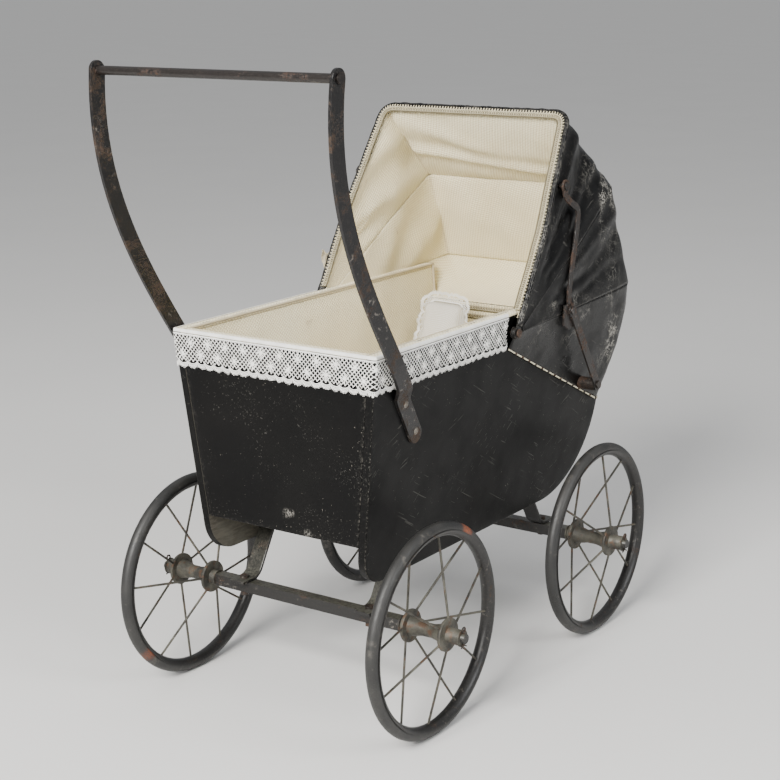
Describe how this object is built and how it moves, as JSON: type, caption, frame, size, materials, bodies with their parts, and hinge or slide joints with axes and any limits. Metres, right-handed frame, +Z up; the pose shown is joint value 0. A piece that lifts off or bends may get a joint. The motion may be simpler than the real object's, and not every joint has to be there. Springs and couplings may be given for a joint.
{
  "type": "doll's pram",
  "caption": "Old doll's pram with a deep black board body, flat steel springs, wire wheels, steel push handle, lace trim and a folding fan hood with jointed stays.",
  "frame": {"origin": "middle of the whole pram on the ground, under the centre of its bounding box", "axes": "+Y is the way it travels, towards the hooded head end; +X is the pusher's right, along the axles; +Z is up"},
  "size_m": [0.354, 0.5492, 0.6025],
  "materials": {
    "rubber_tyre": "worn grey-black rubber, satin",
    "painted_steel": "old black paint over steel, mottled with brown rust",
    "rusty_steel": "brown rusted steel with traces of black paint",
    "dusty_wire": "dusty grey-beige steel",
    "wood_board": "bare softwood board",
    "leathercloth": "black leathercloth, satin, scuffed and scratched",
    "cotton_pique": "cream cotton pique, matte",
    "white_lace": "white cotton bobbin lace",
    "gimp_braid": "beige gimp braid"
  },
  "bodies": {
    "carriage": {"spring_rear_left": "painted_steel", "spring_rear_right": "painted_steel", "spring_front_left": "painted_steel", "spring_front_right": "painted_steel", "side_board_left": "wood_board", "side_cover_left": "leathercloth", "side_lining_left": "cotton_pique", "handle_arm_left": "painted_steel", "side_board_right": "wood_board", "side_cover_right": "leathercloth", "side_lining_right": "cotton_pique", "handle_arm_right": "painted_steel", "rear_axle": "dusty_wire", "front_axle": "dusty_wire", "axle_washers": "dusty_wire", "split_pins": "rusty_steel", "spring_bolts": "rusty_steel", "floor_board": "wood_board", "foot_board": "wood_board", "foot_cover": "leathercloth", "foot_lining": "cotton_pique", "head_board": "wood_board", "head_cover": "leathercloth", "head_lining": "cotton_pique", "mattress": "cotton_pique", "pillow": "white_lace", "lace_trim": "white_lace", "handle_grip": "painted_steel", "handle_screws": "rusty_steel", "hood_rivets": "rusty_steel", "back_bow": "painted_steel", "hood_cover_back": "leathercloth", "hood_lining_back": "cotton_pique"},
    "wheel_rear_left": {"tyre_rear_left": "rubber_tyre", "rim_rear_left": "painted_steel", "spokes_rear_left": "dusty_wire", "hub_rear_left": "dusty_wire"},
    "wheel_rear_right": {"tyre_rear_right": "rubber_tyre", "rim_rear_right": "painted_steel", "spokes_rear_right": "dusty_wire", "hub_rear_right": "dusty_wire"},
    "wheel_front_left": {"tyre_front_left": "rubber_tyre", "rim_front_left": "painted_steel", "spokes_front_left": "dusty_wire", "hub_front_left": "dusty_wire"},
    "wheel_front_right": {"tyre_front_right": "rubber_tyre", "rim_front_right": "painted_steel", "spokes_front_right": "dusty_wire", "hub_front_right": "dusty_wire"},
    "hood_middle": {"middle_bow": "painted_steel", "hood_cover_middle": "leathercloth", "hood_lining_middle": "cotton_pique"},
    "hood_front": {"front_bow": "painted_steel", "hood_cover_front": "leathercloth", "hood_lining_front": "cotton_pique", "hood_braid": "gimp_braid"},
    "upper_stay_left": {"stay_upper_left": "rusty_steel"},
    "lower_stay_left": {"stay_lower_left": "rusty_steel"},
    "upper_stay_right": {"stay_upper_right": "rusty_steel"},
    "lower_stay_right": {"stay_lower_right": "rusty_steel"}
  },
  "joints": [
    {"name": "spin_rear_left", "type": "hinge", "parent": "carriage", "child": "wheel_rear_left", "pos_m": [-0.142, -0.15364, 0.1], "axis": [1, 0, 0], "continuous": true},
    {"name": "spin_rear_right", "type": "hinge", "parent": "carriage", "child": "wheel_rear_right", "pos_m": [0.142, -0.15364, 0.1], "axis": [1, 0, 0], "continuous": true},
    {"name": "spin_front_left", "type": "hinge", "parent": "carriage", "child": "wheel_front_left", "pos_m": [-0.142, 0.15136, 0.1], "axis": [1, 0, 0], "continuous": true},
    {"name": "spin_front_right", "type": "hinge", "parent": "carriage", "child": "wheel_front_right", "pos_m": [0.142, 0.15136, 0.1], "axis": [1, 0, 0], "continuous": true},
    {"name": "middle_bow_fold", "type": "hinge", "parent": "carriage", "child": "hood_middle", "pos_m": [0, 0.02636, 0.337], "axis": [-1, 0, 0], "range_deg": [0, 24], "deforming": ["hood_cover_middle", "hood_lining_middle"]},
    {"name": "hood_fold", "type": "hinge", "parent": "hood_middle", "child": "hood_front", "pos_m": [0, 0.02636, 0.337], "axis": [-1, 0, 0], "range_deg": [0, 24], "deforming": ["hood_cover_front", "hood_lining_front"]},
    {"name": "lower_stay_swing_left", "type": "hinge", "parent": "carriage", "child": "lower_stay_left", "pos_m": [-0.125, 0.17736, 0.256], "axis": [1, 0, 0], "range_deg": [0, 41.04]},
    {"name": "upper_stay_swing_left", "type": "hinge", "parent": "hood_front", "child": "upper_stay_left", "pos_m": [-0.123, 0.11036, 0.468], "axis": [-1, 0, 0], "range_deg": [0, 11.09]},
    {"name": "lower_stay_swing_right", "type": "hinge", "parent": "carriage", "child": "lower_stay_right", "pos_m": [0.125, 0.17736, 0.256], "axis": [1, 0, 0], "range_deg": [0, 41.04]},
    {"name": "upper_stay_swing_right", "type": "hinge", "parent": "hood_front", "child": "upper_stay_right", "pos_m": [0.123, 0.11036, 0.468], "axis": [-1, 0, 0], "range_deg": [0, 11.09]}
  ],
  "couplings": [
    {"joint": "middle_bow_fold", "follows": "hood_fold", "ratio": 1},
    {"joint": "lower_stay_swing_left", "follows": "hood_fold", "ratio": 1.7017},
    {"joint": "upper_stay_swing_left", "follows": "hood_fold", "ratio": 0.45375},
    {"joint": "lower_stay_swing_right", "follows": "hood_fold", "ratio": 1.7017},
    {"joint": "upper_stay_swing_right", "follows": "hood_fold", "ratio": 0.45375}
  ]
}
